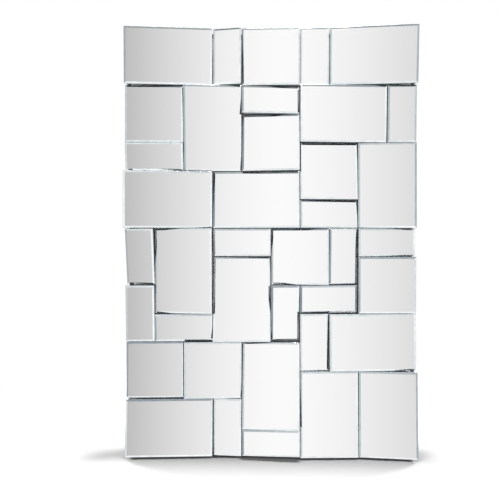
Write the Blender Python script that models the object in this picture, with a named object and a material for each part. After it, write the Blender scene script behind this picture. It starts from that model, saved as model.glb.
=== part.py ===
"""Free-standing faceted mirror screen.

Bevelled mirror tiles of several sizes fill a regular grid of cells. Each tile is turned and leaned a little
on its own wedge block. The blocks stand on relief boards, which are fixed to one back board with a batten
frame behind it. A steel plate under the lower edge meets the floor, and two feet swing out behind on
knuckle hinges. X runs to the right, Y to the back and Z up, and the mirrors face -Y.
"""

import math
from collections import namedtuple

import bmesh
import bpy
from mathutils import Matrix, Vector

# Grid of cells that the tiles fill, in metres like every length here.
COLUMNS = 10
ROWS = 15
CELL_WIDTH = 0.102
CELL_HEIGHT = 0.100

# Mirror tiles.
TILE_GAP = 0.0010
GLASS_THICKNESS = 0.005
BEVEL_WIDTH = 0.007
BEVEL_DROP = 0.0018

# Fits.
SEAT_GAP = 0.0003  # between two pieces that rest on each other
RUN_GAP = 0.0004  # between pieces that move past each other

# Wedge blocks and the relief boards that carry them.
BLOCK_INSET = 0.005  # from the edge of a tile's cell to its block
BLOCK_LEAST = 0.003  # how far the lowest corner of a block stands out of its board
BLOCK_SINK = 0.003  # how deep a block is let into its board
RELIEF_THICKNESS = 0.006
RELIEF_GAP = 0.001  # between two relief boards
EDGE_REVEAL = 0.003  # from the outer line of the cells to the relief boards

# Back board and its batten frame.
BACK_THICKNESS = 0.012
BACK_REVEAL = 0.018  # from the outer line of the cells to the back board
BATTEN_WIDTH = 0.060
BATTEN_DEPTH = 0.022
BATTEN_REVEAL = 0.042  # from the outer line of the cells to the frame
EDGE_ROUND = 0.0012  # eased edges of boards and battens

# Plate that meets the floor.
PLATE_THICKNESS = 0.004
PLATE_REVEAL = 0.020  # from the outer line of the cells to the plate's ends
PLATE_SETBACK = 0.004  # from the middle plane of the tile faces to the plate's front edge
FLOOR_CLEARANCE = 0.006  # from the floor to the lowest line of cells

# Swing-out feet.
FOOT_LENGTH = 0.270
FOOT_HEIGHT = 0.300
FOOT_THICKNESS = 0.018
FOOT_TOE = 0.036  # height of the foot at its far end
FOOT_CROWN = 0.045  # length of the foot at its top
FOOT_CORNER = 0.014  # radius of its outer corners
FOOT_STOP = 0.001  # between the frame and the foot's hinge edge

# Knuckle hinges of the feet.
HINGE_BOTTOM = 0.050
HINGE_HEIGHT = 0.200
HINGE_INSET = 0.025  # from the frame's outer side to the hinge axis
LEAF_WIDTH = 0.030
LEAF_THICKNESS = 0.002
LEAF_MARGIN = 0.001  # a leaf stands this far past its knuckles at each end
KNUCKLES = 5
BARREL_RADIUS = 0.0054
PIN_RADIUS = 0.0025
PIN_HEAD_RADIUS = 0.0042
PIN_HEAD_HEIGHT = 0.003
PIN_TAIL = 0.002  # how far the pin shows under the lowest knuckle
ROUND_SIDES = 24

# Each tile: its name, its first column and row counted from the top left, its columns and rows, how far it
# turns (degrees, right side forward), leans (degrees, lower side forward) and stands out at its middle
# (millimetres from the middle plane of the tile faces).
Tile = namedtuple("Tile", "name column row columns rows turn lean out")
TILES = (
    Tile("a1", 0, 0, 3, 2, -4, -1, 12),
    Tile("a2", 3, 0, 1, 2, 9, 2, 8),
    Tile("a3", 4, 0, 2, 2, 2, -1, 6),
    Tile("a4", 6, 0, 1, 2, 1, -2, 6),
    Tile("a5", 7, 0, 3, 2, 6, -5, 20),
    Tile("b1", 0, 2, 2, 2, -2, 0, 3),
    Tile("b2", 2, 2, 2, 3, -4, -4, 1),
    Tile("b3", 4, 2, 2, 1, -4, 6, 3),
    Tile("b4", 6, 2, 3, 2, -3, -3, 7),
    Tile("b5", 9, 2, 1, 2, 3, -3, 5),
    Tile("c1", 0, 4, 2, 1, 0, -8, 4),
    Tile("c2", 4, 3, 2, 2, 5, 4, 2),
    Tile("c3", 6, 4, 2, 2, -2, 4, -2),
    Tile("c4", 8, 4, 2, 3, 4, 0, 2),
    Tile("d1", 0, 5, 3, 2, -6, 0, 16),
    Tile("d2", 3, 5, 3, 2, 2, 4, -3),
    Tile("d3", 6, 6, 2, 1, -4, 6, -2),
    Tile("e1", 0, 7, 1, 2, 4, -8, 0),
    Tile("e2", 1, 7, 2, 3, 6, -1, 5),
    Tile("e3", 3, 7, 2, 1, 0, -9, -14),
    Tile("e4", 5, 7, 2, 2, 9, 2, -8),
    Tile("e5", 7, 7, 1, 2, -5, -5, -7),
    Tile("e6", 8, 7, 2, 1, -5, -1, -3),
    Tile("f1", 0, 9, 1, 2, -1, -3, -4),
    Tile("f2", 3, 8, 2, 3, -2, 7, -14),
    Tile("f3", 8, 8, 2, 2, -1, -1, 3),
    Tile("f4", 5, 9, 1, 2, -4, -7, -9),
    Tile("f5", 6, 9, 2, 1, -4, -5, -8),
    Tile("f6", 1, 10, 2, 1, -2, -8, -4),
    Tile("g1", 0, 11, 2, 2, -2, 1, -14),
    Tile("g2", 2, 11, 2, 2, -3, 0, -6),
    Tile("g3", 4, 11, 2, 3, 6, 7, 8),
    Tile("g4", 6, 10, 1, 2, -3, 0, 1),
    Tile("g5", 7, 10, 3, 2, -2, 2, 5),
    Tile("h1", 0, 13, 3, 2, -2, 4, 0),
    Tile("h2", 3, 13, 1, 2, 5, 3, -8),
    Tile("h3", 4, 14, 2, 1, 3, -7, 12),
    Tile("h4", 6, 12, 2, 3, -1, 2, 10),
    Tile("h5", 8, 12, 2, 3, 6, 2, 16),
)

# Each relief board: its name, the corners of the cells it covers, going clockwise as the viewer sees it from
# the upper left (column line, row line), and the tiles that its blocks carry.
RELIEF_BOARDS = (
    ("relief_board_top", ((0, 0), (10, 0), (10, 2), (0, 2)), "a1 a2 a3 a4 a5"),
    ("relief_board_upper_left", ((0, 2), (6, 2), (6, 7), (0, 7)), "b1 b2 b3 c1 c2 d1 d2"),
    ("relief_board_upper_right", ((6, 2), (10, 2), (10, 7), (6, 7)), "b4 b5 c3 c4 d3"),
    ("relief_board_middle_left", ((0, 7), (5, 7), (5, 11), (0, 11)), "e1 e2 e3 f1 f2 f6"),
    (
        "relief_board_middle_right",
        ((5, 7), (10, 7), (10, 12), (6, 12), (6, 11), (5, 11)),
        "e4 e5 e6 f3 f4 f5 g4 g5",
    ),
    ("relief_board_lower_left", ((0, 11), (6, 11), (6, 15), (0, 15)), "g1 g2 g3 h1 h2 h3"),
    ("relief_board_lower_right", ((6, 12), (10, 12), (10, 15), (6, 15)), "h4 h5"),
)


def column_line(column):
    """X of the line on the left of a column."""
    return (column - COLUMNS / 2) * CELL_WIDTH


def row_line(row):
    """Z of the line above a row."""
    return FLOOR_CLEARANCE + (ROWS - row) * CELL_HEIGHT


def slopes(tile):
    """How far a tile's face comes forward for each metre to the right and for each metre down."""
    return math.tan(math.radians(tile.turn)), math.tan(math.radians(tile.lean))


def tile_middle(tile):
    """X and Z of the middle of a tile's cells."""
    return (
        column_line(tile.column + tile.columns / 2),
        row_line(tile.row + tile.rows / 2),
    )


def face_y(tile, x, z):
    """Y of the plane of a tile's face at X and Z. The middle plane of all faces is Y = 0."""
    right, down = slopes(tile)
    middle_x, middle_z = tile_middle(tile)
    return -(tile.out / 1000 + right * (x - middle_x) - down * (z - middle_z))


def tile_normal(tile):
    """Unit vector out of a tile's face."""
    right, down = slopes(tile)
    return Vector((-right, -1, down)).normalized()


def deepest_face():
    """Y of the corner of a tile's cells where its face lies furthest back."""
    return max(
        face_y(tile, column_line(column), row_line(row))
        for tile in TILES
        for column in (tile.column, tile.column + tile.columns)
        for row in (tile.row, tile.row + tile.rows)
    )


# Planes that the pieces behind the tiles share, each from the one before it.
HALF_WIDTH = column_line(COLUMNS)
TOP = row_line(0)
RELIEF_FRONT = deepest_face() + GLASS_THICKNESS + SEAT_GAP + BLOCK_LEAST
BACK_FRONT = RELIEF_FRONT + RELIEF_THICKNESS + SEAT_GAP
FRAME_FRONT = BACK_FRONT + BACK_THICKNESS + SEAT_GAP
FRAME_BACK = FRAME_FRONT + BATTEN_DEPTH
CASE_BOTTOM = PLATE_THICKNESS + SEAT_GAP
FRAME_SIDE = HALF_WIDTH - BATTEN_REVEAL
FRAME_TOP = TOP - BATTEN_REVEAL
HINGE_X = FRAME_SIDE - HINGE_INSET
LEAF_FACE = BARREL_RADIUS + RUN_GAP - SEAT_GAP  # from the hinge axis to the outer face of a leaf
HINGE_Y = FRAME_BACK + SEAT_GAP + LEAF_FACE
BORE_RADIUS = (PIN_RADIUS + RUN_GAP) / math.cos(math.pi / ROUND_SIDES)

MIRROR = ((0.86, 0.88, 0.88, 1), 0.03, 1.0)
BLACK_PAINT = ((0.022, 0.022, 0.024, 1), 0.62, 0.0)
BLACK_LACQUER = ((0.030, 0.030, 0.032, 1), 0.45, 0.0)
COATED_STEEL = ((0.045, 0.046, 0.048, 1), 0.50, 0.0)
ZINC = ((0.62, 0.63, 0.65, 1), 0.32, 1.0)


def clear_scene():
    """Removes every object that is already in the file."""
    for obj in list(bpy.data.objects):
        bpy.data.objects.remove(obj, do_unlink=True)


def finish(name, look):
    """A Principled material of the given colour, roughness and metallic value."""
    colour, roughness, metallic = look
    material = bpy.data.materials.new(name)
    material.use_nodes = True
    shader = material.node_tree.nodes["Principled BSDF"]
    shader.inputs["Base Color"].default_value = colour
    shader.inputs["Roughness"].default_value = roughness
    shader.inputs["Metallic"].default_value = metallic
    return material


def add_object(name, shape, parent, look=None):
    """Puts a bmesh into the scene as a named object with a material of its own."""
    bmesh.ops.recalc_face_normals(shape, faces=shape.faces)
    mesh = bpy.data.meshes.new(name)
    shape.to_mesh(mesh)
    shape.free()
    obj = bpy.data.objects.new(name, mesh)
    obj.parent = parent
    if look:
        mesh.materials.append(finish(name + "_finish", look))
    bpy.context.scene.collection.objects.link(obj)
    return obj


def add_empty(name, location, parent=None):
    """An empty that other pieces hang on."""
    empty = bpy.data.objects.new(name, None)
    empty.location = location
    empty.parent = parent
    bpy.context.scene.collection.objects.link(empty)
    return empty


def ease_edges(obj, width):
    """Rounds the sharp edges of a board a little."""
    bevel = obj.modifiers.new("eased_edges", "BEVEL")
    bevel.width = width
    bevel.segments = 2
    bevel.limit_method = "ANGLE"
    bevel.harden_normals = False


def box(low, high):
    """A closed box between two opposite corners."""
    shape = bmesh.new()
    bmesh.ops.create_cube(shape, size=1)
    size = [b - a for a, b in zip(low, high)]
    middle = [(a + b) / 2 for a, b in zip(low, high)]
    bmesh.ops.scale(shape, vec=size, verts=shape.verts)
    bmesh.ops.translate(shape, vec=middle, verts=shape.verts)
    return shape


def loft(rings):
    """A closed solid through rings of corners, with a flat face over the first and the last."""
    shape = bmesh.new()
    made = [[shape.verts.new(point) for point in ring] for ring in rings]
    count = len(made[0])
    for first, second in zip(made, made[1:]):
        for i in range(count):
            j = (i + 1) % count
            shape.faces.new((first[i], first[j], second[j], second[i]))
    shape.faces.new(made[0])
    shape.faces.new(made[-1])
    return shape


def join(obj, parts):
    """Unites helper solids with an object and hides the helpers."""
    for part in parts:
        part.hide_render = True
        part.display_type = "WIRE"
        union = obj.modifiers.new("with_" + part.name, "BOOLEAN")
        union.operation = "UNION"
        union.solver = "EXACT"
        union.object = part


def rectangle(half_width, half_height, y):
    """The corners of an upright rectangle at one depth."""
    signs = ((-1, -1), (1, -1), (1, 1), (-1, 1))
    return [(sx * half_width, y, sz * half_height) for sx, sz in signs]


def tile_half_size(tile, turned):
    """Half the width and height of the glass whose turned outline just fills its cells less the gap."""
    room_x = (tile.columns * CELL_WIDTH - TILE_GAP) / 2 - abs(turned[0][1]) * GLASS_THICKNESS
    room_z = (tile.rows * CELL_HEIGHT - TILE_GAP) / 2 - abs(turned[2][1]) * GLASS_THICKNESS
    xx, xz = abs(turned[0][0]), abs(turned[0][2])
    zx, zz = abs(turned[2][0]), abs(turned[2][2])
    scale = xx * zz - xz * zx
    return (room_x * zz - room_z * xz) / scale, (room_z * xx - room_x * zx) / scale


def build_tile(tile, parent):
    """One slab of mirror glass with a bevel all round its face, at its own turn, lean and depth."""
    turned = Vector((0, -1, 0)).rotation_difference(tile_normal(tile)).to_matrix()
    half_width, half_height = tile_half_size(tile, turned)
    shape = loft(
        (
            rectangle(half_width - BEVEL_WIDTH, half_height - BEVEL_WIDTH, 0),
            rectangle(half_width, half_height, BEVEL_DROP),
            rectangle(half_width, half_height, GLASS_THICKNESS),
        )
    )
    obj = add_object("mirror_tile_" + tile.name, shape, parent, MIRROR)
    middle_x, middle_z = tile_middle(tile)
    place = Vector((middle_x, face_y(tile, middle_x, middle_z), middle_z))
    obj.matrix_local = Matrix.Translation(place) @ turned.to_4x4()
    return obj


def block_shape(tile):
    """The wedge behind one tile: square to the board at its foot and parallel to the glass at its top."""
    left, right = column_line(tile.column), column_line(tile.column + tile.columns)
    top, bottom = row_line(tile.row), row_line(tile.row + tile.rows)
    corners = (
        (left + BLOCK_INSET, bottom + BLOCK_INSET),
        (right - BLOCK_INSET, bottom + BLOCK_INSET),
        (right - BLOCK_INSET, top - BLOCK_INSET),
        (left + BLOCK_INSET, top - BLOCK_INSET),
    )
    behind = (GLASS_THICKNESS + SEAT_GAP) / abs(tile_normal(tile).y)
    foot = [(x, RELIEF_FRONT + BLOCK_SINK, z) for x, z in corners]
    crown = [(x, face_y(tile, x, z) + behind, z) for x, z in corners]
    return loft((foot, crown))


def board_line_x(column, side):
    """X of a relief board's edge on a column line. side is 1 where the board lies to the right of it."""
    reveal = EDGE_REVEAL if column in (0, COLUMNS) else RELIEF_GAP / 2
    return column_line(column) + side * reveal


def board_line_z(row, side):
    """Z of a relief board's edge on a row line. side is 1 where the board lies above it."""
    if row == ROWS:
        return CASE_BOTTOM
    reveal = EDGE_REVEAL if row == 0 else RELIEF_GAP / 2
    return row_line(row) + side * reveal


def board_outline(corners):
    """The X and Z corners of a relief board, drawn in from the lines of its cells.

    The corners go clockwise, so the board lies to the right of each side: below a side that runs to the
    right, and to the left of a side that runs down.
    """
    outline = []
    for i, (column, row) in enumerate(corners):
        before, after = corners[i - 1], corners[(i + 1) % len(corners)]
        across = after if after[1] == row else before
        upright = after if after[0] == column else before
        rightward = across[0] > column if across is after else column > across[0]
        downward = upright[1] > row if upright is after else row > upright[1]
        x = board_line_x(column, -1 if downward else 1)
        z = board_line_z(row, -1 if rightward else 1)
        outline.append((x, z))
    return outline


def build_relief_board(name, corners, carried, parent):
    """A thin board with the wedge blocks of its tiles standing on it, as one piece."""
    outline = board_outline(corners)
    sheet = loft(
        (
            [(x, RELIEF_FRONT, z) for x, z in outline],
            [(x, RELIEF_FRONT + RELIEF_THICKNESS, z) for x, z in outline],
        )
    )
    board = add_object(name, sheet, parent, BLACK_PAINT)
    names = carried.split()
    blocks = [
        add_object("block_" + tile.name, block_shape(tile), parent) for tile in TILES if tile.name in names
    ]
    join(board, blocks)
    return board


def build_board(name, low, high, parent, look):
    """A plain board or batten with eased edges."""
    board = add_object(name, box(low, high), parent, look)
    ease_edges(board, EDGE_ROUND)
    return board


def build_case(parent):
    """The back board, the batten frame behind it and the plate that meets the floor."""
    half_back = HALF_WIDTH - BACK_REVEAL
    build_board(
        "back_board",
        (-half_back, BACK_FRONT, CASE_BOTTOM),
        (half_back, BACK_FRONT + BACK_THICKNESS, TOP - BACK_REVEAL),
        parent,
        BLACK_PAINT,
    )
    inside = FRAME_SIDE - BATTEN_WIDTH
    for name, left in (("frame_stile_left", -FRAME_SIDE), ("frame_stile_right", inside)):
        build_board(
            name,
            (left, FRAME_FRONT, CASE_BOTTOM),
            (left + BATTEN_WIDTH, FRAME_BACK, FRAME_TOP),
            parent,
            BLACK_LACQUER,
        )
    for name, bottom in (("frame_rail_top", FRAME_TOP - BATTEN_WIDTH), ("frame_rail_bottom", CASE_BOTTOM)):
        build_board(
            name,
            (-inside + SEAT_GAP, FRAME_FRONT, bottom),
            (inside - SEAT_GAP, FRAME_BACK, bottom + BATTEN_WIDTH),
            parent,
            BLACK_LACQUER,
        )
    half_plate = HALF_WIDTH - PLATE_REVEAL
    plate = box((-half_plate, PLATE_SETBACK, 0), (half_plate, FRAME_BACK, PLATE_THICKNESS))
    add_object("floor_plate", plate, parent, COATED_STEEL)


def knuckle_spans():
    """The lowest and highest Z of each knuckle, from the bottom up."""
    usable = HINGE_HEIGHT - 2 * LEAF_MARGIN
    step = usable / KNUCKLES
    start = HINGE_BOTTOM + LEAF_MARGIN
    return [
        (start + i * step + RUN_GAP / 2, start + (i + 1) * step - RUN_GAP / 2) for i in range(KNUCKLES)
    ]


def circle(radius, z):
    """A ring of points about the hinge axis, with the middle of a side towards each leaf."""
    angles = [(i + 0.5) * 2 * math.pi / ROUND_SIDES for i in range(ROUND_SIDES)]
    return [(radius * math.cos(angle), radius * math.sin(angle), z) for angle in angles]


def knuckle_shape(bottom, top):
    """A short tube about the hinge axis."""
    shape = bmesh.new()
    outline = ((BORE_RADIUS, bottom), (BARREL_RADIUS, bottom), (BARREL_RADIUS, top), (BORE_RADIUS, top))
    rings = [[shape.verts.new(point) for point in circle(radius, z)] for radius, z in outline]
    for first, second in zip(rings, rings[1:] + rings[:1]):
        for i in range(ROUND_SIDES):
            j = (i + 1) % ROUND_SIDES
            shape.faces.new((first[i], first[j], second[j], second[i]))
    return shape


def comb_outline(own):
    """The X and Z corners of a leaf, whose fingers reach the hinge axis where its own knuckles are."""
    notch = BARREL_RADIUS + 2 * RUN_GAP
    outline = [(LEAF_WIDTH, HINGE_BOTTOM), (LEAF_WIDTH, HINGE_BOTTOM + HINGE_HEIGHT)]
    outline.append((notch, HINGE_BOTTOM + HINGE_HEIGHT))
    for i, (bottom, top) in reversed(list(enumerate(knuckle_spans()))):
        if i % 2 == own:
            low, high = bottom + RUN_GAP, top - RUN_GAP
            outline += [(notch, high), (0, high), (0, low), (notch, low)]
    outline.append((notch, HINGE_BOTTOM))
    return outline


def build_leaf(name, own, parent, turn, mirrored):
    """One leaf of a hinge with its own knuckles, every second one from own upwards.

    Before it is turned, the leaf lies along +X from the hinge axis with its outer face towards -Y.
    """
    outline = comb_outline(own)
    plate = loft(
        (
            [(x, -LEAF_FACE, z) for x, z in outline],
            [(x, LEAF_THICKNESS - LEAF_FACE, z) for x, z in outline],
        )
    )
    leaf = add_object(name, plate, parent, ZINC)
    knuckles = [
        add_object(f"{name}_knuckle_{i}", knuckle_shape(bottom, top), parent)
        for i, (bottom, top) in enumerate(knuckle_spans())
        if i % 2 == own
    ]
    join(leaf, knuckles)
    for piece in (leaf, *knuckles):
        piece.data.transform(Matrix.Rotation(math.radians(turn), 4, "Z"))
        if mirrored:
            piece.data.transform(Matrix.Scale(-1, 4, Vector((1, 0, 0))))
            piece.data.flip_normals()
    return leaf


def pin_shape():
    """The hinge pin: a straight shank with a domed head that rests over the top knuckle."""
    bottom = knuckle_spans()[0][0] - PIN_TAIL
    seat = knuckle_spans()[-1][1] + SEAT_GAP
    head_top = seat + PIN_HEAD_HEIGHT
    return loft(
        (
            circle(PIN_RADIUS * 0.8, bottom),
            circle(PIN_RADIUS, bottom + PIN_RADIUS / 2),
            circle(PIN_RADIUS, seat),
            circle(PIN_HEAD_RADIUS, seat),
            circle(PIN_HEAD_RADIUS, (seat + head_top) / 2),
            circle(PIN_HEAD_RADIUS * 0.7, head_top),
        )
    )


def foot_shape(side):
    """The swing-out foot: an upright board with a long lower edge on the floor and a sloping back edge."""
    front = FRAME_BACK + FOOT_STOP - HINGE_Y
    inner = side * (LEAF_FACE + SEAT_GAP)
    outer = inner + side * FOOT_THICKNESS
    profile = (
        (front, 0),
        (front + FOOT_LENGTH, 0),
        (front + FOOT_LENGTH, FOOT_TOE),
        (front + FOOT_CROWN, FOOT_HEIGHT),
        (front, FOOT_HEIGHT),
    )
    shape = loft(([(inner, y, z) for y, z in profile], [(outer, y, z) for y, z in profile]))
    shape.edges.ensure_lookup_table()
    far_corners = [
        edge
        for edge in shape.edges
        if abs(edge.verts[0].co.x - edge.verts[1].co.x) > FOOT_THICKNESS / 2
        and min(v.co.y for v in edge.verts) > front + FOOT_CROWN / 2
        and min(v.co.z for v in edge.verts) > FOOT_TOE / 2
    ]
    bmesh.ops.bevel(shape, geom=far_corners, offset=FOOT_CORNER, segments=5, profile=0.5, affect="EDGES")
    return shape


def build_foot(word, side, parent):
    """A foot with its hinge, where side is 1 on the right and -1 on the left. It folds to the middle."""
    axis = add_empty(f"foot_{word}_axis", (side * HINGE_X, HINGE_Y, 0), parent)
    foot = add_object(f"foot_{word}", foot_shape(side), axis, BLACK_LACQUER)
    ease_edges(foot, EDGE_ROUND)
    build_leaf(f"foot_{word}_hinge_leaf_moving", 1, axis, 90, side < 0)
    build_leaf(f"foot_{word}_hinge_leaf_fixed", 0, axis, 0, side > 0)
    pin = add_object(f"foot_{word}_hinge_pin", pin_shape(), axis, ZINC)
    pin.data.shade_smooth()
    pin.data.set_sharp_from_angle(angle=math.radians(35))


def centre_on_floor(stand):
    """Moves the whole screen so that the middle of its footprint is the origin."""
    bpy.context.view_layer.update()
    graph = bpy.context.evaluated_depsgraph_get()
    points = []
    for obj in bpy.context.scene.objects:
        if obj.type == "MESH" and not obj.hide_render:
            shown = obj.evaluated_get(graph)
            points += [shown.matrix_world @ vertex.co for vertex in shown.data.vertices]
    for axis in (0, 1):
        values = [point[axis] for point in points]
        stand.location[axis] = -(min(values) + max(values)) / 2


def main():
    clear_scene()
    stand = add_empty("screen", (0, 0, 0))
    for tile in TILES:
        build_tile(tile, stand)
    for name, corners, carried in RELIEF_BOARDS:
        build_relief_board(name, corners, carried, stand)
    build_case(stand)
    build_foot("left", -1, stand)
    build_foot("right", 1, stand)
    centre_on_floor(stand)


main()
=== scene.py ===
"""Finishes and fine detail of the faceted mirror screen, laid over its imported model.

Every mirror tile becomes a plate of silvered glass with a ground border, a seamed edge and a painted back.
The boards, battens, feet, plate and hinges keep their solids and get their paint, lacquer and plating, and
the frame and the hinges get their screws. X runs to the right, Y to the back and Z up, in metres.
"""

import logging
import math
from collections.abc import Callable, Sequence
from dataclasses import dataclass
from enum import Enum
from typing import Any

import bpy
import numpy as np
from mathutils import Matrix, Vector


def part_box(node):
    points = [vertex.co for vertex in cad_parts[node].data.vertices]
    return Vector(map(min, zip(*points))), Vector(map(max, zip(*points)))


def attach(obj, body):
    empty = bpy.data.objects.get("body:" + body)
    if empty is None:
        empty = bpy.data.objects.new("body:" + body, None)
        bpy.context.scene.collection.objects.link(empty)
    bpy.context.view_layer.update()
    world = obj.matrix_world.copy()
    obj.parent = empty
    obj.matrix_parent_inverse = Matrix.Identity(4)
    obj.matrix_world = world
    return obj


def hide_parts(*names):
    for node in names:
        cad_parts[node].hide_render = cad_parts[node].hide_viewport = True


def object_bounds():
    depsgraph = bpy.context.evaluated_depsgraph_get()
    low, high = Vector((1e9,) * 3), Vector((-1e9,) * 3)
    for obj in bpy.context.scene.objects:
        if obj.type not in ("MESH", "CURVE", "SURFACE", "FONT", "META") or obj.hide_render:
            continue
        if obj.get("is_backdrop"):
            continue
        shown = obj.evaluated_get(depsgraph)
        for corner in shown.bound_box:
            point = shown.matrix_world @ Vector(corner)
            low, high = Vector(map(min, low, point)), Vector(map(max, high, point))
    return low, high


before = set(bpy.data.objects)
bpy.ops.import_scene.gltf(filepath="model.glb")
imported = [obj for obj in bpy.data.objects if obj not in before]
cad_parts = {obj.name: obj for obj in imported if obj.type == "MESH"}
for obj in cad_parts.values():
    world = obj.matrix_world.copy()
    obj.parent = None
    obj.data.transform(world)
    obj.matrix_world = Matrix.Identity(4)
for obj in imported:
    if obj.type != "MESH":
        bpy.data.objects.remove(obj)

LOG = logging.getLogger("mirror_screen")
Colour = tuple[float, float, float]

# What is added to a tile's own seed for the draw of its border's painted reflection tones.
PAINTED_TONE_SEED = 1000
# How far behind a face's plane a point may lie and still belong to it.
FLATNESS = 1e-5
# The places of a colour mix's sockets: its share, its two colours and its result.
MIX_SHARE, MIX_FIRST, MIX_SECOND, MIX_RESULT = 0, 6, 7, 2


class Body(Enum):
    """The bodies that pieces ride on."""

    PANEL = "panel"
    LEFT_FOOT = "left_foot"
    RIGHT_FOOT = "right_foot"


class Slot(Enum):
    """Two of the record's material slots. Nothing in this script reads them."""

    GLASS = "mirror_glass"
    ZINC = "zinc"


class Side(Enum):
    """The sides of a tile, in the order that its outline runs."""

    BOTTOM = 0
    RIGHT = 1
    TOP = 2
    LEFT = 3


# The range of painted reflection in the colour of the border on each side, as the share of the light that
# comes back. The borders that turn up or to the left are painted darker, for the darker part of the room,
# and the others paler, for the floor and the light wall.
BORDER_PAINTED_REFLECTION = {
    Side.BOTTOM: (0.84, 1.0),
    Side.RIGHT: (0.88, 1.0),
    Side.TOP: (0.33, 0.82),
    Side.LEFT: (0.32, 0.97),
}
# The same painted reflection for the right border of a tile at the screen's right edge, painted darker for
# the dark end of the room.
OUTER_RIGHT_PAINTED_REFLECTION = (0.40, 1.0)


class Recipe:
    """One material's nodes, added one after another round a Principled shader."""

    def __init__(self, name: str) -> None:
        """Starts a material that holds only its shader and its output.

        Args:
            name: the material's name.
        """
        self.material = bpy.data.materials.new(name)
        self.material.use_nodes = True
        self.tree = self.material.node_tree
        self.shader = self.tree.nodes["Principled BSDF"]
        self.place = self.add("ShaderNodeTexCoord").outputs["Object"]

    def add(self, kind: str, **settings: Any) -> bpy.types.Node:
        """Adds a node.

        Args:
            kind: Blender's name for the type of node.
            **settings: the node's own properties, or plain values for its inputs, where spaces in an
                input's name are written as underscores.

        Returns:
            The new node.
        """
        node = self.tree.nodes.new(kind)
        for name, value in settings.items():
            if hasattr(node, name):
                setattr(node, name, value)
            else:
                node.inputs[name.replace("_", " ")].default_value = value
        return node

    def link(self, source: bpy.types.NodeSocket, target: bpy.types.NodeSocket) -> None:
        """Joins an output to an input."""
        self.tree.links.new(source, target)

    def drive(self, name: str, source: bpy.types.NodeSocket) -> None:
        """Joins an output to one of the shader's sockets."""
        self.link(source, self.shader.inputs[name])

    def set(self, **values: Any) -> None:
        """Sets plain values straight on the shader's sockets."""
        for name, value in values.items():
            self.shader.inputs[name.replace("_", " ")].default_value = value

    def noise(self, scale: float, detail: float, stretch: Colour = (1, 1, 1)) -> bpy.types.NodeSocket:
        """Noise in the object's own space.

        Args:
            scale: how many features fit into a metre.
            detail: how many octaves of finer features it adds.
            stretch: a factor on X, Y and Z, below 1 along the way that the features run.

        Returns:
            The noise's value, near 0.5 in the middle.
        """
        mapping = self.add("ShaderNodeMapping", Scale=stretch)
        self.link(self.place, mapping.inputs["Vector"])
        noise = self.add("ShaderNodeTexNoise", Scale=scale, Detail=detail)
        self.link(mapping.outputs["Vector"], noise.inputs["Vector"])
        return noise.outputs["Fac"]

    def place_parts(self) -> tuple[bpy.types.NodeSocket, ...]:
        """Splits the object's own space into its three directions.

        Returns:
            X, Y and Z.
        """
        parts = self.add("ShaderNodeSeparateXYZ")
        self.link(self.place, parts.inputs["Vector"])
        return tuple(parts.outputs)

    def spread(
        self, value: bpy.types.NodeSocket, low: float, high: float, start: float = 0.3, end: float = 0.7
    ) -> bpy.types.NodeSocket:
        """Maps a value between start and end onto low to high, and holds it there outside them.

        Args:
            value: the value.
            low: the result at start.
            high: the result at end.
            start: where the value starts to count.
            end: where it stops.

        Returns:
            The mapped value.
        """
        scaled = self.add(
            "ShaderNodeMapRange", From_Min=start, From_Max=end, To_Min=low, To_Max=high, clamp=True
        )
        self.link(value, scaled.inputs["Value"])
        return scaled.outputs["Result"]

    def colours(
        self, value: bpy.types.NodeSocket, stops: Sequence[tuple[float, Colour]]
    ) -> bpy.types.NodeSocket:
        """A ramp of colours over a value from 0 to 1.

        Args:
            value: the value.
            stops: where each colour stands on the ramp, in rising order, and the colour.

        Returns:
            The colour.
        """
        ramp = self.add("ShaderNodeValToRGB")
        elements = ramp.color_ramp.elements
        while len(elements) < len(stops):
            elements.new(0.5)
        for element, (position, colour) in zip(elements, stops):
            element.position = position
            element.color = (*colour, 1)
        self.link(value, ramp.inputs["Fac"])
        return ramp.outputs["Color"]

    def bump(self, height: bpy.types.NodeSocket, distance: float, strength: float = 1.0) -> None:
        """Raises the surface by a height times a distance.

        Args:
            height: the height, from 0 to 1.
            distance: how far a height of 1 stands out, in metres.
            strength: how much of it shows.
        """
        bump = self.add("ShaderNodeBump", Strength=strength, Distance=distance)
        self.link(height, bump.inputs["Height"])
        self.link(bump.outputs["Normal"], self.shader.inputs["Normal"])


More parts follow.
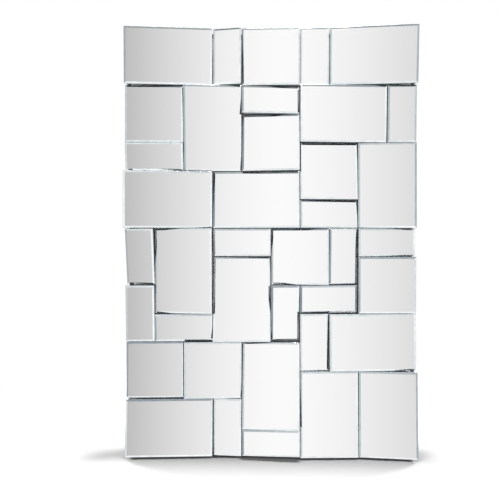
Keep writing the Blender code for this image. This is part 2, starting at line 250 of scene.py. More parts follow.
@dataclass(frozen=True)
class Silvering:
    """Silver behind clear glass, on the flat of each tile.

    Its colour holds one painted reflection across the screen's whole width, darkest at the left, fullest
    near the middle and a little darker again to the right. Because it is painted, it is the same on every
    tile, however the tile is turned.
    """

    half_width: float
    roughness: float = 0.012
    crest: float = 0.03
    full: float = 0.96
    left_drop: float = 0.45
    right_drop: float = 0.24
    power: float = 1.5
    stops: int = 16
    wiping_scale: float = 6
    wiping_stretch: Colour = (1.0, 1.0, 0.35)

    def shade(self) -> list[tuple[float, Colour]]:
        """The ramp of the painted reflection over the width of the screen.

        It is fullest at the crest. From there it falls on each side by that side's drop, times the share
        of the way to the edge raised to the power.

        Returns:
            The place of each stop, from 0 at the left edge to 1 at the right, and its grey.
        """
        place = np.linspace(0, 1, self.stops)
        x = (2 * place - 1) * self.half_width - self.crest
        way = np.where(x < 0, -x / (self.half_width + self.crest), x / (self.half_width - self.crest))
        value = self.full - np.where(x < 0, self.left_drop, self.right_drop) * way**self.power
        return [(float(at), (float(grey),) * 3) for at, grey in zip(place, value)]

    def make(self) -> bpy.types.Material:
        """The silvered face, with the painted reflection in its colour and traces of wiping in its gloss.

        Returns:
            The material.
        """
        recipe = Recipe("silvered_face")
        x, _, _ = recipe.place_parts()
        across = recipe.spread(x, 0, 1, -self.half_width, self.half_width)
        # Painted reflection: the base colour is darker towards both sides of the screen, standing in for the
        # room that the mirror reflects.
        recipe.drive("Base Color", recipe.colours(across, self.shade()))
        recipe.set(Metallic=1.0)
        wiping = recipe.noise(self.wiping_scale, 4, self.wiping_stretch)
        recipe.drive("Roughness", recipe.spread(wiping, self.roughness * 0.5, self.roughness * 1.8))
        return recipe.material


@dataclass(frozen=True)
class GroundBorder:
    """The ground and polished border of a tile. Its colour is a painted reflection whose tone is the piece's
    own attribute.
    """

    attribute: str = "painted_tone"
    roughness: float = 0.03
    streak_scale: float = 45
    # The colours of the painted reflection, from the dark of the room to the white of the light wall.
    painted_reflection_tones: tuple[tuple[float, Colour], ...] = (
        (0.0, (0.020, 0.030, 0.045)),
        (0.3, (0.250, 0.300, 0.345)),
        (0.6, (0.560, 0.610, 0.630)),
        (1.0, (0.970, 0.990, 1.000)),
    )

    def make(self) -> bpy.types.Material:
        """The border, its colour a painted reflection that is cooler where it is darker, with faint streaks
        left by the grinding wheel.

        Returns:
            The material.
        """
        recipe = Recipe("ground_border")
        painted_tone = recipe.add("ShaderNodeAttribute", attribute_name=self.attribute)
        streaks = recipe.noise(self.streak_scale, 3)
        uneven = recipe.add("ShaderNodeMath", operation="MULTIPLY")
        recipe.link(painted_tone.outputs["Fac"], uneven.inputs[0])
        recipe.link(recipe.spread(streaks, 0.88, 1.06), uneven.inputs[1])
        # Painted reflection: the border's colour is set darker or paler by side, standing in for what each
        # border reflects.
        recipe.drive("Base Color", recipe.colours(uneven.outputs["Value"], self.painted_reflection_tones))
        recipe.set(Metallic=1.0)
        recipe.drive("Roughness", recipe.spread(streaks, self.roughness * 0.6, self.roughness * 2.2))
        return recipe.material


@dataclass(frozen=True)
class GlassEdge:
    """A cut of the glass that lets its own slate green show over the silver behind it."""

    name: str
    deep: Colour
    pale: Colour
    ripple_scale: float = 160
    ripple_height: float = 0.0001

    def make(self) -> bpy.types.Material:
        """The cut, with a fine ripple from the belt that took off its sharpness.

        Returns:
            The material.
        """
        recipe = Recipe(self.name)
        ripple = recipe.noise(self.ripple_scale, 3)
        recipe.drive("Base Color", recipe.colours(ripple, ((0.35, self.deep), (0.62, self.pale))))
        recipe.set(Metallic=0.6, IOR=1.52)
        recipe.drive("Roughness", recipe.spread(ripple, 0.10, 0.28))
        recipe.bump(ripple, self.ripple_height, 0.5)
        return recipe.material


@dataclass(frozen=True)
class CoatOfPaint:
    """A sprayed or rolled coat: cloudy colour, uneven gloss and a fine peel."""

    name: str
    light: Colour
    dark: Colour
    gloss: tuple[float, float]
    peel: float
    peel_scale: float
    cloud_scale: float = 9
    shine: float = 0.5

    def tint(self, recipe: Recipe) -> bpy.types.NodeSocket:
        """The colour of the coat, which drifts between its two tints in soft clouds."""
        clouds = recipe.noise(self.cloud_scale, 5)
        return recipe.colours(clouds, ((0.35, self.dark), (0.65, self.light)))

    def make(self) -> bpy.types.Material:
        """The coat of paint.

        Returns:
            The material.
        """
        recipe = Recipe(self.name)
        recipe.drive("Base Color", self.tint(recipe))
        recipe.set(Specular_IOR_Level=self.shine)
        grain = recipe.noise(self.peel_scale, 3)
        recipe.drive("Roughness", recipe.spread(grain, *self.gloss))
        recipe.bump(grain, self.peel)
        return recipe.material


@dataclass(frozen=True)
class RimmedPaint(CoatOfPaint):
    """A coat that is pale in the joints and black round the screen's outer sides."""

    rim: Colour = (0.020, 0.020, 0.021)
    half_width: float = 0.5
    height: float = 1.5
    strip: float = 0.020
    fade: float = 0.001

    def tint(self, recipe: Recipe) -> bpy.types.NodeSocket:
        """The clouded tint, replaced by the rim's within a strip of the sides, the top and the bottom.

        The share of the rim's colour is the largest of three ramps: one over the distance from the middle
        of the screen, one up to its top and one down to the floor.

        Args:
            recipe: the material's nodes.

        Returns:
            The colour.
        """
        across, _, up = recipe.place_parts()
        aside = recipe.add("ShaderNodeMath", operation="ABSOLUTE")
        recipe.link(across, aside.inputs[0])
        edge, top = self.half_width - self.strip, self.height - self.strip
        share = recipe.spread(aside.outputs["Value"], 0, 1, edge, edge + self.fade)
        for ramp in (
            recipe.spread(up, 0, 1, top, top + self.fade),
            recipe.spread(up, 1, 0, self.strip, self.strip + self.fade),
        ):
            larger = recipe.add("ShaderNodeMath", operation="MAXIMUM")
            recipe.link(share, larger.inputs[0])
            recipe.link(ramp, larger.inputs[1])
            share = larger.outputs["Value"]
        mix = recipe.add("ShaderNodeMix", data_type="RGBA")
        recipe.link(share, mix.inputs[MIX_SHARE])
        recipe.link(super().tint(recipe), mix.inputs[MIX_FIRST])
        mix.inputs[MIX_SECOND].default_value = (*self.rim, 1)
        return mix.outputs[MIX_RESULT]


@dataclass(frozen=True)
class GrainedLacquer:
    """Dark lacquer over a softwood batten, thin enough for the grain to show."""

    name: str
    stretch: Colour
    light: Colour = (0.030, 0.028, 0.026)
    dark: Colour = (0.011, 0.011, 0.011)
    grain_scale: float = 150
    grain_height: float = 0.00018
    cloud_scale: float = 7

    def make(self) -> bpy.types.Material:
        """The lacquer, with grain that runs along the batten.

        Returns:
            The material.
        """
        recipe = Recipe(self.name)
        grain = recipe.noise(self.grain_scale, 4, self.stretch)
        clouds = recipe.noise(self.cloud_scale, 4)
        recipe.drive("Base Color", recipe.colours(grain, ((0.34, self.dark), (0.66, self.light))))
        recipe.drive("Roughness", recipe.spread(clouds, 0.30, 0.46))
        recipe.bump(grain, self.grain_height, 0.8)
        return recipe.material


@dataclass(frozen=True)
class ZincPlating:
    """Bright zinc over pressed steel, dulled a little by handling."""

    bright: Colour = (0.66, 0.68, 0.70)
    dull: Colour = (0.42, 0.43, 0.44)
    cloud_scale: float = 60
    mark_scale: float = 900
    mark_stretch: Colour = (1, 1, 0.04)
    mark_height: float = 0.00003

    def make(self) -> bpy.types.Material:
        """The plating, with rolling marks that run upright.

        Returns:
            The material.
        """
        recipe = Recipe("zinc_plating")
        clouds = recipe.noise(self.cloud_scale, 4)
        marks = recipe.noise(self.mark_scale, 2, self.mark_stretch)
        recipe.drive("Base Color", recipe.colours(clouds, ((0.38, self.dull), (0.60, self.bright))))
        recipe.set(Metallic=1.0)
        recipe.drive("Roughness", recipe.spread(marks, 0.22, 0.42))
        recipe.bump(marks, self.mark_height, 0.6)
        return recipe.material


class FinishRack:
    """Every finish of the screen, made once."""

    def __init__(self, half_width: float, height: float) -> None:
        """Makes the materials.

        Args:
            half_width: half the width of the screen.
            height: the height of the screen.
        """
        self.half_width = half_width
        self.face = Silvering(half_width).make()
        self.border = GroundBorder().make()
        self.seam = GlassEdge("glass_seam", (0.250, 0.295, 0.335), (0.500, 0.550, 0.590)).make()
        self.edge = GlassEdge("glass_edge", (0.480, 0.550, 0.575), (0.740, 0.790, 0.810)).make()
        self.backing = CoatOfPaint(
            "backing_paint", (0.115, 0.118, 0.122), (0.075, 0.078, 0.082), (0.45, 0.65), 0.00005, 700
        ).make()
        self.relief = RimmedPaint(
            "relief_paint",
            (0.610, 0.622, 0.638),
            (0.520, 0.532, 0.548),
            (0.40, 0.55),
            0.00010,
            420,
            half_width=half_width,
            height=height,
        ).make()
        self.back = CoatOfPaint(
            "back_paint",
            (0.020, 0.020, 0.021),
            (0.014, 0.014, 0.015),
            (0.50, 0.68),
            0.00015,
            600,
            cloud_scale=3,
            shine=0.3,
        ).make()
        self.powder = CoatOfPaint(
            "powder_coat", (0.050, 0.051, 0.053), (0.038, 0.039, 0.041), (0.38, 0.55), 0.00012, 1100
        ).make()
        self.upright = GrainedLacquer("upright_lacquer", (1, 1, 0.06)).make()
        self.level = GrainedLacquer("level_lacquer", (0.06, 1, 1)).make()
        self.foot = GrainedLacquer("foot_lacquer", (1, 0.06, 1)).make()
        self.zinc = ZincPlating().make()


def put_mesh(
    name: str,
    points: np.ndarray,
    faces: np.ndarray,
    materials: Sequence[bpy.types.Material],
    which: np.ndarray | None = None,
    smooth: bool = False,
) -> bpy.types.Object:
    """Puts arrays into a mesh object that sits at the origin.

    Args:
        name: the piece's name.
        points: one row of X, Y and Z for each point.
        faces: one row of four corners for each face, going round it as seen from outside.
        materials: the piece's materials.
        which: the number of each face's material, or None where there is one.
        smooth: whether the shading runs smoothly over the faces.

    Returns:
        The new object.
    """
    mesh = bpy.data.meshes.new(name)
    count = len(faces)
    mesh.vertices.add(len(points))
    mesh.vertices.foreach_set("co", points.astype(np.float32).ravel())
    mesh.loops.add(count * 4)
    mesh.loops.foreach_set("vertex_index", faces.astype(np.int32).ravel())
    mesh.polygons.add(count)
    mesh.polygons.foreach_set("loop_start", np.arange(count, dtype=np.int32) * 4)
    for material in materials:
        mesh.materials.append(material)
    if which is not None:
        mesh.polygons.foreach_set("material_index", which.astype(np.int32))
    mesh.update(calc_edges=True)
    mesh.validate()
    shade = mesh.shade_smooth if smooth else mesh.shade_flat
    shade()
    piece = bpy.data.objects.new(name, mesh)
    bpy.context.scene.collection.objects.link(piece)
    return piece


def node_points(name: str) -> np.ndarray:
    """Reads the points of a CAD node.

    Args:
        name: the node.

    Returns:
        One row of X, Y and Z for each point.
    """
    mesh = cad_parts[name].data
    points = np.empty(len(mesh.vertices) * 3, np.float32)
    mesh.vertices.foreach_get("co", points)
    return points.reshape(-1, 3).astype(float)


def node_triangles(name: str) -> np.ndarray:
    """Reads the triangles of a CAD node.

    Args:
        name: the node.

    Returns:
        An array of triangles by corners by X, Y and Z.
    """
    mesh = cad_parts[name].data
    corners = np.empty(len(mesh.loops), np.int32)
    mesh.loops.foreach_get("vertex_index", corners)
    return node_points(name)[corners].reshape(-1, 3, 3)


def unit(vector: np.ndarray) -> np.ndarray:
    """The vector at length 1."""
    return vector / np.linalg.norm(vector)


@dataclass(frozen=True)
class Plate:
    """Where one slab of glass lies: the middle of its face, its own three directions and its size."""

    middle: np.ndarray
    across: np.ndarray
    up: np.ndarray
    out: np.ndarray
    half_width: float
    half_height: float
    thickness: float

    @classmethod
    def of_node(cls, name: str) -> "Plate":
        """Reads the plate from its CAD slab.

        The face is the largest triangle that looks forward. The slab's points, measured along the face's
        own directions from its middle, give its size.

        Args:
            name: the slab's node.

        Returns:
            The plate.
        """
        triangles = node_triangles(name)
        crossed = np.cross(triangles[:, 1] - triangles[:, 0], triangles[:, 2] - triangles[:, 0])
        forward = np.where(crossed[:, 1] < 0, np.linalg.norm(crossed, axis=1), 0)
        largest = int(np.argmax(forward))
        out = unit(crossed[largest])
        points = node_points(name)
        depth = -(points @ out)
        on_face = points[depth < depth.min() + FLATNESS]
        middle = (on_face.min(0) + on_face.max(0)) / 2
        sides = np.roll(triangles[largest], -1, axis=0) - triangles[largest]
        order = np.argsort(np.linalg.norm(sides, axis=1))
        legs = [unit(sides[i]) for i in order[:2]]
        across = max(legs, key=lambda leg: abs(leg[0]))
        across = across * np.sign(across[0])
        up = unit(np.cross(across, out))
        up = up * np.sign(up[2])
        local = points - middle
        return cls(
            middle,
            across,
            up,
            out,
            float(np.abs(local @ across).max()),
            float(np.abs(local @ up).max()),
            float(depth.max() - depth.min()),
        )

    def place(self, x: np.ndarray, z: np.ndarray, depth: np.ndarray) -> np.ndarray:
        """Points from their place on the plate.

        Args:
            x: how far each lies across from the middle of the face.
            z: how far it lies up.
            depth: how far it lies behind the face.

        Returns:
            The points, with X, Y and Z last.
        """
        return (
            self.middle
            + np.multiply.outer(x, self.across)
            + np.multiply.outer(z, self.up)
            - np.multiply.outer(depth, self.out)
        )


@dataclass
class MirrorTile:
    """One tile: a flat silvered face, a ground border, a seamed edge and a painted back."""

    name: str
    seed: int
    steps: int = 12
    border: float = 0.007
    drop: float = 0.0018
    seam: float = 0.0009
    chamfer: float = 0.0005
    wander: float = 0.00018
    turns: tuple[int, ...] = (5, 9, 14)
    drift: float = 0.22

    def outline(self) -> tuple[np.ndarray, np.ndarray]:
        """The outline of the square from -1 to 1, from its lower left corner and rightwards first.

        Each side is cut into equal steps, and the corner that ends a side starts the next.

        Returns:
            X and Z of the outline's points.
        """
        run = np.arange(self.steps) * 2 / self.steps - 1
        one = np.ones(self.steps)
        return np.concatenate([run, one, -run, -one]), np.concatenate([-one, run, one, -run])

    def wobble(self) -> np.ndarray:
        """How far the line between face and border strays at each point of the outline.

        It is a sum of waves round the outline, with seeded heights and starts, and it dies away at the
        corners as the sine of the way along each side.

        Returns:
            The distance at each point, in metres.
        """
        draw = np.random.default_rng(self.seed)
        turn = np.linspace(0, 2 * np.pi, 4 * self.steps, endpoint=False)
        waves = np.array(self.turns)[:, None] * turn + draw.uniform(0, 2 * np.pi, len(self.turns))[:, None]
        along = np.tile(np.sin(np.pi * np.arange(self.steps) / self.steps), 4)
        heights = draw.uniform(0.2, 0.5, len(self.turns))[:, None]
        return self.wander * along * (heights * np.sin(waves)).sum(0)

    def rings(self, plate: Plate) -> np.ndarray:
        """The rings round the plate, from the rim of the face to the rim of the back.

        Each ring is the square outline stretched to the plate's half width and half height less the
        ring's inset, at the ring's own depth behind the face.

        Args:
            plate: where the glass lies.

        Returns:
            An array of rings by points by X, Y and Z.
        """
        square_x, square_z = self.outline()
        back = plate.thickness
        profile = np.array(
            [
                (self.border, 0.0),
                (self.seam, self.drop * (1 - self.seam / self.border)),
                (0.0, self.drop + self.chamfer),
                (0.0, back - self.chamfer),
                (self.chamfer, back),
            ]
        )
        inset = np.repeat(profile[:, :1], len(square_x), axis=1)
        inset[0] += self.wobble()
        depth = np.repeat(profile[:, 1:], len(square_x), axis=1)
        return plate.place(
            square_x * (plate.half_width - inset), square_z * (plate.half_height - inset), depth
        )

    def painted_reflection_tones(self, outer: bool) -> np.ndarray:
        """The painted reflection tone of each face of the border, in the outline's order.

        Each side has a seeded tone from its own range, which rises or falls by up to a seeded share from
        one corner to the next.

        Args:
            outer: whether the tile stands at the screen's right edge.

        Returns:
            A tone from 0 to 1 for each step of the outline.
        """
        draw = np.random.default_rng(PAINTED_TONE_SEED + self.seed)
        low, high = np.array([BORDER_PAINTED_REFLECTION[side] for side in Side]).T
        if outer:
            low[Side.RIGHT.value], high[Side.RIGHT.value] = OUTER_RIGHT_PAINTED_REFLECTION
        level = low + (high - low) * draw.uniform(0, 1, len(Side))
        slope = draw.uniform(-self.drift, self.drift, len(Side))
        along = (np.arange(self.steps) + 0.5) / self.steps - 0.5
        return np.clip(level[:, None] * (1 + slope[:, None] * along), 0, 1).ravel()

    def flat(self, plate: Plate, rim: np.ndarray) -> np.ndarray:
        """A grid of points over a flat whose rim is given, by blending between opposite sides.

        A point is the mean place between the left and right rim, plus that between the lower and upper
        rim, less that between the four corners: the usual patch between four border lines.

        Args:
            plate: where the glass lies.
            rim: the rim's points in the outline's order.

        Returns:
            The grid's points, row by row from the bottom, rim included.
        """
        n = self.steps
        bottom, right = rim[: n + 1], rim[n : 2 * n + 1]
        top = rim[2 * n : 3 * n + 1][::-1]
        left = np.concatenate([rim[3 * n :], rim[:1]])[::-1]
        s = (np.arange(n + 1) / n)[None, :, None]
        t = (np.arange(n + 1) / n)[:, None, None]
        between_sides = (1 - s) * left[:, None] + s * right[:, None]
        between_ends = (1 - t) * bottom[None] + t * top[None]
        corners = (1 - s) * ((1 - t) * bottom[0] + t * top[0]) + s * ((1 - t) * bottom[-1] + t * top[-1])
        return (between_sides + between_ends - corners).reshape(-1, 3)

    def build(self, rack: FinishRack) -> bpy.types.Object:
        """Builds the tile and stands it for its CAD slab.

        Args:
            rack: the finishes.

        Returns:
            The tile.
        """
        node = "mirror_tile_" + self.name
        plate = Plate.of_node(node)
        n, rings = self.steps, self.rings(plate)
        grid = np.arange((n + 1) ** 2).reshape(n + 1, n + 1)
        rim = np.concatenate([grid[0, :-1], grid[:-1, -1], grid[-1, :0:-1], grid[:0:-1, 0]])
        front, back = self.flat(plate, rings[0]), self.flat(plate, rings[-1])
        start = len(front)
        between = start + np.arange(3 * 4 * n).reshape(3, -1)
        last = start + 3 * 4 * n
        ring_ids = np.concatenate([rim[None], between, last + rim[None]])
        first, second = ring_ids[:-1], ring_ids[1:]
        walls = np.stack([np.roll(first, -1, 1), first, second, np.roll(second, -1, 1)], -1).reshape(-1, 4)
        squares = np.stack([grid[:-1, :-1], grid[:-1, 1:], grid[1:, 1:], grid[1:, :-1]], -1).reshape(-1, 4)
        faces = np.concatenate([squares, walls, last + squares[:, ::-1]])
        bands = np.repeat([1, 2, 3, 3], 4 * n)
        which = np.concatenate([np.zeros(n * n, int), bands, np.full(n * n, 4)])
        points = np.concatenate([front, rings[1:-1].reshape(-1, 3), back])
        materials = (rack.face, rack.border, rack.seam, rack.edge, rack.backing)
        tile = put_mesh("glass_" + self.name, points, faces, materials, which)
        painted_tone = np.ones(len(faces), np.float32)
        right = plate.middle[0] + plate.half_width
        # Painted reflection: the border faces get their painted tone, darker on the top and left sides.
        painted_tone[which == 1] = self.painted_reflection_tones(right > rack.half_width - 2 * self.border)
        tile.data.attributes.new(GroundBorder.attribute, "FLOAT", "FACE").data.foreach_set("value", painted_tone)
        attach(tile, Body.PANEL.value)
        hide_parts(node)
        return tile


@dataclass
class Mosaic:
    """All the mirror tiles."""

    prefix: str = "mirror_tile_"

    def build(self, rack: FinishRack) -> list[bpy.types.Object]:
        """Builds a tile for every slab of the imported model, in the order of their names."""
        names = sorted(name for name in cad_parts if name.startswith(self.prefix))
        return [MirrorTile(name[len(self.prefix) :], seed).build(rack) for seed, name in enumerate(names)]


@dataclass(frozen=True)
class Seat:
    """Where one screw head sits, the way that it faces and how far its cross is turned, in degrees."""

    point: Colour
    facing: Colour
    turn: float


@dataclass
class ScrewSet:
    """Pan heads with a cross recess, all on one body, as one piece."""

    name: str
    body: Body
    seats: Sequence[Seat]
    radius: float = 0.0040
    dome: float = 0.0013
    recess: float = 0.0010
    sides: int = 32
    hub: float = 0.15
    arm: float = 0.43
    fall: float = 0.55
    crease: float = 32

    def head(self) -> tuple[np.ndarray, np.ndarray]:
        """One head about the Z axis, standing on Z = 0.

        The first parameter goes round the axis. The second goes out from the middle to the line of the
        cross, then on to the rim, and then down and back in under the head. The line of the cross lies at
        the hub's share of the radius plus the arm's share of it times the squared cosine of twice the
        angle. The dome falls with the square of the distance from the axis, by the fall's share of its
        height at the rim, and inside the cross it is sunk by the recess.

        Returns:
            The head's points, ring by ring, and its faces.
        """
        angle = np.arange(self.sides) * 2 * np.pi / self.sides
        cross = self.radius * (self.hub + self.arm * np.cos(2 * angle) ** 2)
        inside = np.array([0.02, 0.45, 0.88])[:, None] * cross
        outside = cross + np.array([0.0, 0.25, 0.5, 0.75, 0.93])[:, None] * (self.radius - cross)
        reach = np.concatenate([inside, outside])
        height = self.dome * (1 - self.fall * (reach / self.radius) ** 2)
        height[: len(inside)] -= self.recess * np.array([1.0, 0.95, 0.8])[:, None]
        rim = np.full((1, self.sides), self.radius)
        reach = np.concatenate([reach, rim, rim * 0.97, rim * 0.02])
        low = [np.full((1, self.sides), share * self.dome) for share in (0.35, 0.0, 0.0)]
        height = np.concatenate([height, *low])
        points = np.stack([reach * np.cos(angle), reach * np.sin(angle), height], -1).reshape(-1, 3)
        ids = np.arange(len(points)).reshape(-1, self.sides)
        first, second = ids[:-1], ids[1:]
        walls = np.stack([first, second, np.roll(second, -1, 1), np.roll(first, -1, 1)], -1).reshape(-1, 4)
        quarter = np.arange(self.sides // 2 - 1)
        strip = np.stack([quarter, quarter + 1, self.sides - 2 - quarter, self.sides - 1 - quarter], -1)
        return points, np.concatenate([walls, ids[0][strip], ids[-1][strip[:, ::-1]]])

    def build(self, rack: FinishRack) -> bpy.types.Object:
        """Carries one head to each seat.

        Args:
            rack: the finishes.

        Returns:
            The screws, as one piece.
        """
        points, faces = self.head()
        placed = []
        for seat in self.seats:
            out = unit(np.array(seat.facing, float))
            side = unit(np.cross((0, 0, 1), out))
            turn = math.radians(seat.turn)
            right = math.cos(turn) * side + math.sin(turn) * np.cross(out, side)
            axes = np.stack([right, np.cross(out, right), out])
            placed.append(points @ axes + np.array(seat.point))
        many = np.concatenate([faces + i * len(points) for i in range(len(self.seats))])
        screws = put_mesh(self.name, np.concatenate(placed), many, (rack.zinc,), smooth=True)
        screws.data.set_sharp_from_angle(angle=math.radians(self.crease))
        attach(screws, self.body.value)
        return screws


@dataclass
class Carcass:
    """The boards, the batten frame and the floor plate, in their own finishes, with the frame's screws."""

    stile_screws: tuple[float, ...] = (0.22, 0.40, 0.60, 0.80, 0.965)
    rail_screws: tuple[float, ...] = (0.10, 0.37, 0.63, 0.90)
    stile_turns: tuple[float, float] = (70, 31)
    rail_turns: tuple[float, float] = (95, 17)

    def dress(self, rack: FinishRack) -> None:
        """Gives each board and batten its finish.

        Args:
            rack: the finishes.
        """
        looks = {
            "relief_board_": rack.relief,
            "back_board": rack.back,
            "frame_stile_": rack.upright,
            "frame_rail_": rack.level,
            "floor_plate": rack.powder,
        }
        for name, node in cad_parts.items():
            for prefix, material in looks.items():
                if name.startswith(prefix):
                    node.data.materials.clear()
                    node.data.materials.append(material)

    def seats(self) -> list[Seat]:
        """The seats of the screws that hold the frame to the back board, on the middles of its battens.

        The cross of each screw is turned by the first of its batten's turns times its share of the way
        along, plus the second turn on the second batten of the pair.

        Returns:
            The seats.
        """
        seats = []
        along, apart = self.stile_turns
        for number, word in enumerate(("left", "right")):
            low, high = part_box("frame_stile_" + word)
            for share in self.stile_screws:
                z = low.z + share * (high.z - low.z)
                turn = along * share + apart * number
                seats.append(Seat(((low.x + high.x) / 2, high.y, z), (0, 1, 0), turn))
        along, apart = self.rail_turns
        for number, end in enumerate(("top", "bottom")):
            low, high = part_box("frame_rail_" + end)
            for share in self.rail_screws:
                x = low.x + share * (high.x - low.x)
                turn = along * share + apart * number
                seats.append(Seat((x, high.y, (low.z + high.z) / 2), (0, 1, 0), turn))
        return seats

    def build(self, rack: FinishRack) -> list[bpy.types.Object]:
        """Dresses the boards and sets the frame's screws."""
        self.dress(rack)
        return [ScrewSet("frame_screws", Body.PANEL, self.seats()).build(rack)]


@dataclass
class SwingFoot:
    """One foot behind the screen, with its hinge and the screws of both leaves."""

    word: str
    side: int
    body: Body
    shares: tuple[float, ...] = (0.10, 0.37, 0.63, 0.90)
    stagger: float = 0.0035
    reach: float = 0.6
    fixed_turns: tuple[float, float] = (60, 12)
    moving_turns: tuple[float, float] = (80, 5)

    def dress(self, rack: FinishRack) -> None:
        """Gives the foot its lacquer and the hinge its plating.

        Args:
            rack: the finishes.
        """
        for part, material in (
            ("", rack.foot),
            ("_hinge_leaf_fixed", rack.zinc),
            ("_hinge_leaf_moving", rack.zinc),
            ("_hinge_pin", rack.zinc),
        ):
            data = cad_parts[f"foot_{self.word}{part}"].data
            data.materials.clear()
            data.materials.append(material)

    def leaf_seats(self, fixed: bool, leaf_thickness: float = 0.002) -> list[Seat]:
        """The seats on one leaf, staggered either side of a line down its plate.

        The line lies at the reach, a share of the way from the pin to the end of the leaf. Each cross is
        turned by the first of the leaf's turns times its share of the way up, plus the second.

        Args:
            fixed: whether it is the leaf on the frame. The other is on the foot.
            leaf_thickness: the thickness of the leaf's plate.

        Returns:
            The four seats.
        """
        low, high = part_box(f"foot_{self.word}_hinge_leaf_{'fixed' if fixed else 'moving'}")
        pin_low, pin_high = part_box(f"foot_{self.word}_hinge_pin")
        pin = ((pin_low + pin_high) / 2).xy
        along, first = self.fixed_turns if fixed else self.moving_turns
        seats = []
        for number, share in enumerate(self.shares):
            z = low.z + share * (high.z - low.z)
            slip = self.stagger * (1 if number % 2 else -1)
            if fixed:
                end = low.x if self.side > 0 else high.x
                x = pin.x + self.reach * (end - pin.x) + slip
                seats.append(Seat((x, low.y + leaf_thickness, z), (0, 1, 0), along * share + first))
            else:
                y = pin.y + self.reach * (high.y - pin.y) + slip
                face = high.x - leaf_thickness if self.side > 0 else low.x + leaf_thickness
                seats.append(Seat((face, y, z), (-self.side, 0, 0), along * share + first))
        return seats

    def build(self, rack: FinishRack) -> list[bpy.types.Object]:
        """Dresses the foot and its hinge, and sets the screws of both leaves.

        Args:
            rack: the finishes.

        Returns:
            The screws in the frame and the screws in the foot.
        """
        self.dress(rack)
        return [
            ScrewSet(f"foot_{self.word}_frame_screws", Body.PANEL, self.leaf_seats(True)).build(rack),
            ScrewSet(f"foot_{self.word}_screws", self.body, self.leaf_seats(False)).build(rack),
        ]


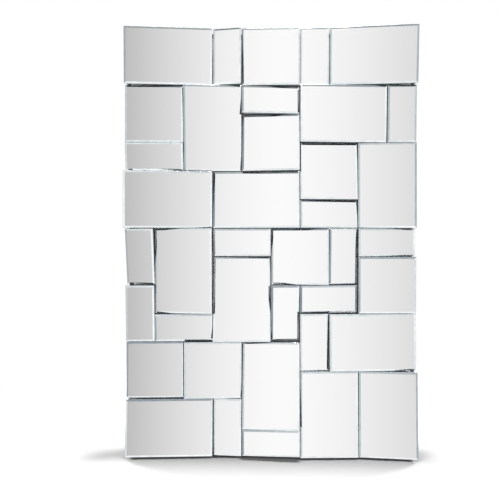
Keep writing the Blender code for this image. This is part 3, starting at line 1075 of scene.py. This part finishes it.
@dataclass
class Studio:
    """A white sweep, one soft lamp overhead, soft lamps behind, and the camera.

    Each dim holds where, along its axis of the direction, the room starts to grow greyer, where it stops,
    and how much light is left there. The places and aims of the lamps behind are those of the right one.
    """

    camera_place: Colour = (0.0077, -1.8564, 0.762)
    lens: float = 34.95
    shift: tuple[float, float] = (-0.046, -0.0186)
    fill: float = 1.0
    lamp_place: Colour = (0.12, -0.12, 5.0)
    lamp_aim: Colour = (0.0, -0.12, 0.0)
    lamp_size: float = 0.66
    lamp_watts: float = 760.0
    back_place: Colour = (2.5, 1.5, 1.5)
    back_aim: Colour = (0.2, -0.1, 0.6)
    back_size: float = 1.2
    back_watts: float = 250.0
    floor_reach: float = 14.0
    floor_grey: float = 0.29
    floor_glow: tuple[float, float] = (0.9, 1.5)
    floor_drop: float = 0.0004
    dim_above: tuple[float, float, float] = (0.52, 0.85, 0.55)
    dim_left: tuple[float, float, float] = (-0.50, -0.85, 0.6)

    def camera(self) -> None:
        """Sets the camera level, in front of the screen and square to it."""
        data = bpy.data.cameras.new("camera")
        data.lens = self.lens
        data.sensor_width = 36
        data.shift_x, data.shift_y = self.shift
        data.clip_start, data.clip_end = 0.05, 60
        camera = bpy.data.objects.new("camera", data)
        camera.location = self.camera_place
        camera.rotation_euler = (math.radians(90), 0, 0)
        bpy.context.scene.collection.objects.link(camera)
        bpy.context.scene.camera = camera

    def lamp(self, name: str, place: Colour, aim: Colour, size: float, watts: float) -> None:
        """Hangs a round soft lamp that shines at a point.

        Args:
            name: the lamp's name.
            place: where it hangs.
            aim: the point that it shines at.
            size: its width.
            watts: its power.
        """
        data = bpy.data.lights.new(name, "AREA")
        data.shape = "DISK"
        data.size = size
        data.energy = watts
        lamp = bpy.data.objects.new(name, data)
        lamp.location = place
        lamp.rotation_euler = (Vector(aim) - Vector(place)).to_track_quat("-Z", "Y").to_euler()
        lamp.visible_camera = False
        bpy.context.scene.collection.objects.link(lamp)

    def floor(self) -> None:
        """Lays a round white floor that runs out into the white of the room.

        The floor is a fan of rings: the radius grows with the square of the first parameter, and the
        second goes round. Near the screen it is white paint, and further out it glows like the room.
        """
        rings, sides, innermost = 24, 64, 0.001
        radius = np.maximum(self.floor_reach * (np.arange(rings) / (rings - 1)) ** 2, innermost)
        angle = np.arange(sides) * 2 * np.pi / sides
        x, y = np.multiply.outer(radius, np.cos(angle)), np.multiply.outer(radius, np.sin(angle))
        points = np.stack([x, y, np.full_like(x, -self.floor_drop)], -1).reshape(-1, 3)
        ids = np.arange(rings * sides).reshape(rings, sides)
        first, second = ids[:-1], ids[1:]
        faces = np.stack([first, second, np.roll(second, -1, 1), np.roll(first, -1, 1)], -1).reshape(-1, 4)
        recipe = Recipe("floor_white")
        grey = self.floor_grey
        recipe.set(Base_Color=(grey, grey, grey, 1), Roughness=0.9, Specular_IOR_Level=0.0)
        distance = recipe.add("ShaderNodeVectorMath", operation="LENGTH")
        recipe.link(recipe.place, distance.inputs[0])
        glow = recipe.add("ShaderNodeEmission", Strength=1.0)
        mixer = recipe.add("ShaderNodeMixShader")
        recipe.link(recipe.spread(distance.outputs["Value"], 0, 1, *self.floor_glow), mixer.inputs["Fac"])
        recipe.link(recipe.shader.outputs["BSDF"], mixer.inputs[1])
        recipe.link(glow.outputs["Emission"], mixer.inputs[2])
        recipe.link(mixer.outputs["Shader"], recipe.tree.nodes["Material Output"].inputs["Surface"])
        floor = put_mesh("floor", points, faces, (recipe.material,))
        floor.visible_glossy = False
        floor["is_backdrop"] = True

    def room(self) -> None:
        """Makes the white room. Glossy surfaces see it greyer high up and far to the left.

        The grey over the height is a smooth step over Z of the direction, the grey to the left is one
        over X, and the two are multiplied. Both start outside the way that the tiles' flats face.
        """
        world = bpy.data.worlds.new("room")
        world.use_nodes = True
        bpy.context.scene.world = world
        tree = world.node_tree
        tree.nodes.clear()
        direction = tree.nodes.new("ShaderNodeSeparateXYZ")
        tree.links.new(tree.nodes.new("ShaderNodeTexCoord").outputs["Generated"], direction.inputs["Vector"])
        grey = tree.nodes.new("ShaderNodeMath")
        grey.operation = "MULTIPLY"
        for number, (axis, dim) in enumerate((("Z", self.dim_above), ("X", self.dim_left))):
            start, end, low = dim
            step = tree.nodes.new("ShaderNodeMapRange")
            step.interpolation_type = "SMOOTHSTEP"
            for name, value in (("From Min", start), ("From Max", end), ("To Min", 1.0), ("To Max", low)):
                step.inputs[name].default_value = value
            tree.links.new(direction.outputs[axis], step.inputs["Value"])
            tree.links.new(step.outputs["Result"], grey.inputs[number])
        path = tree.nodes.new("ShaderNodeLightPath")
        strengths = (self.fill, grey.outputs["Value"], 1.0)
        lights = []
        for strength in strengths:
            light = tree.nodes.new("ShaderNodeBackground")
            light.inputs["Color"].default_value = (1, 1, 1, 1)
            if isinstance(strength, float):
                light.inputs["Strength"].default_value = strength
            else:
                tree.links.new(strength, light.inputs["Strength"])
            lights.append(light.outputs["Background"])
        shown = lights[0]
        for light, ray in zip(lights[1:], ("Is Glossy Ray", "Is Camera Ray")):
            mixer = tree.nodes.new("ShaderNodeMixShader")
            tree.links.new(path.outputs[ray], mixer.inputs["Fac"])
            tree.links.new(shown, mixer.inputs[1])
            tree.links.new(light, mixer.inputs[2])
            shown = mixer.outputs["Shader"]
        tree.links.new(shown, tree.nodes.new("ShaderNodeOutputWorld").inputs["Surface"])

    def build(self) -> None:
        """Sets up the room, the lamps, the floor and the camera."""
        scene = bpy.context.scene
        scene.view_settings.view_transform = "Standard"
        scene.view_settings.look = "None"
        scene.cycles.caustics_reflective = False
        scene.cycles.caustics_refractive = False
        self.camera()
        self.room()
        self.floor()
        self.lamp("lamp_overhead", self.lamp_place, self.lamp_aim, self.lamp_size, self.lamp_watts)
        for word, side in (("left", -1), ("right", 1)):
            place = (side * self.back_place[0], *self.back_place[1:])
            aim = (side * self.back_aim[0], *self.back_aim[1:])
            self.lamp("lamp_behind_" + word, place, aim, self.back_size, self.back_watts)


def main() -> None:
    """Builds the screen's pieces in order."""
    logging.basicConfig(level=logging.INFO, format="%(name)s: %(message)s")
    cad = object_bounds()
    rack = FinishRack(cad[1].x, cad[1].z)
    steps: tuple[Callable[[FinishRack], list[bpy.types.Object]], ...] = (
        Mosaic().build,
        Carcass().build,
        SwingFoot("left", -1, Body.LEFT_FOOT).build,
        SwingFoot("right", 1, Body.RIGHT_FOOT).build,
    )
    for step in steps:
        for piece in step(rack):
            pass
    Studio().build()


if __name__ == "__main__":
    main()
